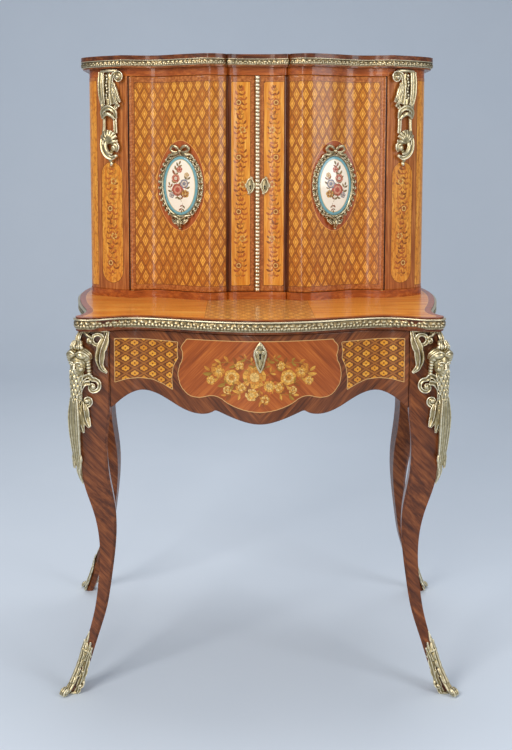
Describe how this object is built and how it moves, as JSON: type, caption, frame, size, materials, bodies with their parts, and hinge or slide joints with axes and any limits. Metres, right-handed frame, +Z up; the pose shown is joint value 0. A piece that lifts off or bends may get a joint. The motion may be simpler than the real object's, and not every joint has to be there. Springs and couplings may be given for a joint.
{
  "type": "bonheur du jour",
  "caption": "Lady's writing table on cabriole legs with a full-width frieze drawer and a serpentine two-door cabinet on its back half, with marquetry and bronze mounts.",
  "frame": {"origin": "centre of the footprint on the floor", "axes": "+Z up, -Y towards the sitter in front of the drawer, +X to the sitter's right"},
  "size_m": [0.8382, 0.54, 1.227],
  "materials": {
    "veneered_wood": "French polished",
    "carcass_wood": "plain oak, waxed",
    "gilt_bronze": "cast, aged gilding",
    "brass_hardware": "polished",
    "porcelain": "glazed and painted porcelain"
  },
  "bodies": {
    "frame": {"back_apron": "veneered_wood", "back_corner_blocks": "carcass_wood", "cabinet_back": "carcass_wood", "cabinet_base": "veneered_wood", "cabinet_ceiling": "veneered_wood", "cabinet_shelf": "carcass_wood", "cornice": "veneered_wood", "cornice_band": "gilt_bronze", "door_pivots": "brass_hardware", "drawer_guides": "carcass_wood", "drawer_kickers": "carcass_wood", "drawer_stops": "carcass_wood", "front_rail": "carcass_wood", "left_back_leg": "veneered_wood", "left_back_sabot": "gilt_bronze", "left_cabinet_mount": "gilt_bronze", "left_cabinet_side": "veneered_wood", "left_cabinet_stile": "veneered_wood", "left_drawer_runner": "carcass_wood", "left_front_leg": "veneered_wood", "left_front_sabot": "gilt_bronze", "left_leg_mount": "gilt_bronze", "left_side_apron": "veneered_wood", "right_back_leg": "veneered_wood", "right_back_sabot": "gilt_bronze", "right_cabinet_mount": "gilt_bronze", "right_cabinet_side": "veneered_wood", "right_cabinet_stile": "veneered_wood", "right_drawer_runner": "carcass_wood", "right_front_leg": "veneered_wood", "right_front_sabot": "gilt_bronze", "right_leg_mount": "gilt_bronze", "right_side_apron": "veneered_wood", "shelf_bearers": "carcass_wood", "table_edge_band": "gilt_bronze", "table_top": "veneered_wood"},
    "drawer": {"drawer_front": "veneered_wood", "left_drawer_side": "carcass_wood", "right_drawer_side": "carcass_wood", "drawer_back": "carcass_wood", "drawer_bottom": "carcass_wood", "drawer_lock_case": "brass_hardware", "drawer_escutcheon": "gilt_bronze"},
    "drawer_bolt": {"drawer_lock_bolt": "brass_hardware"},
    "left_door": {"left_door": "veneered_wood", "left_door_leaves": "brass_hardware", "left_plaque": "porcelain", "left_plaque_frame": "gilt_bronze", "left_door_escutcheon": "gilt_bronze"},
    "right_door": {"right_door": "veneered_wood", "right_door_leaves": "brass_hardware", "right_plaque": "porcelain", "right_plaque_frame": "gilt_bronze", "right_door_escutcheon": "gilt_bronze", "door_astragal": "gilt_bronze", "door_lock_case": "brass_hardware"},
    "door_lock_bolt": {"door_lock_bolt": "brass_hardware"},
    "left_door_bolt": {"left_door_bolt": "brass_hardware"}
  },
  "joints": [
    {"name": "drawer_slide", "type": "slide", "parent": "frame", "child": "drawer", "axis": [0, -1, 0], "range_m": [0, 0.26]},
    {"name": "drawer_bolt_slide", "type": "slide", "parent": "drawer", "child": "drawer_bolt", "axis": [0, 0, 1], "range_m": [0, 0.006]},
    {"name": "left_door_swing", "type": "hinge", "parent": "frame", "child": "left_door", "pos_m": [-0.262, 0.0412, 0.96], "axis": [0, 0, -1], "range_deg": [0, 95]},
    {"name": "right_door_swing", "type": "hinge", "parent": "frame", "child": "right_door", "pos_m": [0.262, 0.0412, 0.96], "axis": [0, 0, 1], "range_deg": [0, 95]},
    {"name": "door_lock_slide", "type": "slide", "parent": "right_door", "child": "door_lock_bolt", "axis": [-1, 0, 0], "range_m": [0, 0.006]},
    {"name": "left_door_bolt_slide", "type": "slide", "parent": "left_door", "child": "left_door_bolt", "axis": [0, 0, 1], "range_m": [0, 0.008]}
  ]
}
